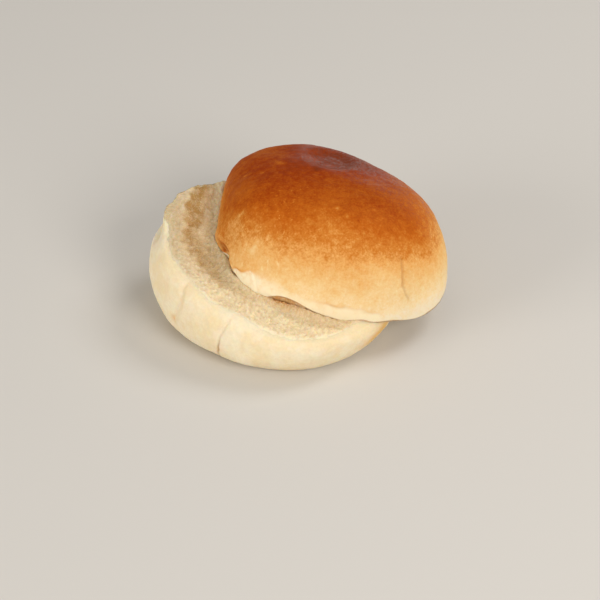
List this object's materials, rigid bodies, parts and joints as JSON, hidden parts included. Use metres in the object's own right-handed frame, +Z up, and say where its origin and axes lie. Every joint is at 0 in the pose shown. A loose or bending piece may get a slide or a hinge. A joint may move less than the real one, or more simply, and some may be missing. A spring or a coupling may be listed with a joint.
{
  "type": "sliced bread roll",
  "caption": "Soft round white bread roll cut across on a slant, its browned top half slid sideways and tipped on the bottom half.",
  "frame": {"origin": "centre of the bottom half's flat base, on the surface the roll rests on", "axes": "+Z up, +X to the side that the top half overhangs, +Y to the back, where the cut is highest"},
  "size_m": [0.1219, 0.1096, 0.0594],
  "materials": {
    "baked_crust": "smooth thin egg-washed crust, dark red-brown and half glossy on the crown, orange lower down, golden cream at the rim",
    "pale_crust": "soft matt cream skin with small wrinkles and folds",
    "crumb": "matt, torn and fluffy cream-white bread inside with fine tan pores"
  },
  "bodies": {
    "root": {"bottom_half": "pale_crust", "top_half": "baked_crust"}
  },
  "joints": []
}
